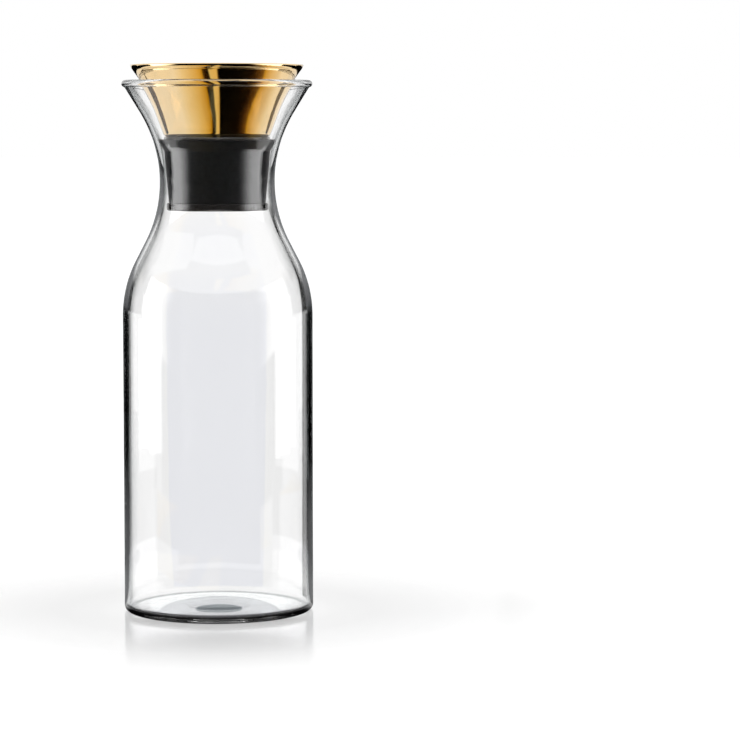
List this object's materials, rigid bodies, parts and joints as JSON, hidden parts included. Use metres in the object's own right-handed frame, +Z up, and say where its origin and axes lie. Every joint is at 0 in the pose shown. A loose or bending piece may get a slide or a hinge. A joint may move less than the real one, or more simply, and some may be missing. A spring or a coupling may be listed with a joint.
{
  "type": "fridge carafe",
  "caption": "Glass fridge carafe with a pinched neck and flared mouth, closed by a lift-out metal pouring funnel with a silicone seal and a weighted flap that tips open to pour.",
  "frame": {"origin": "centre of the foot on the table, at the middle of the bounding box's bottom", "axes": "+Z up along the carafe's axis, -Y front, towards the pouring side; the flap's hinge is at the back, parallel to X"},
  "size_m": [0.095, 0.095, 0.2734],
  "materials": {
    "clear_glass": "clear, fire-polished",
    "gold_metal": "mirror-polished, gold-coated steel",
    "black_plastic": "gloss, moulded",
    "charcoal_silicone": "satin, moulded",
    "turned_steel": "fine-turned"
  },
  "bodies": {
    "vessel": {"glass_vessel": "clear_glass"},
    "stopper": {"pouring_funnel": "gold_metal", "stopper_core": "black_plastic", "seal_sleeve": "charcoal_silicone", "base_ring": "black_plastic", "clamp_ring": "black_plastic", "funnel_gasket": "charcoal_silicone", "hinge_pin": "turned_steel"},
    "flap": {"flap_plate": "black_plastic", "flap_cover": "gold_metal", "flap_gasket": "charcoal_silicone", "counterweight": "turned_steel", "counterweight_screw": "turned_steel"}
  },
  "joints": [
    {"name": "stopper_lift", "type": "slide", "parent": "vessel", "child": "stopper", "axis": [0, 0, 1], "range_m": [0, 0.11]},
    {"name": "flap_tilt", "type": "hinge", "parent": "stopper", "child": "flap", "pos_m": [0, 0.0196, 0.2431], "axis": [-1, 0, 0], "range_deg": [0, 55]}
  ]
}
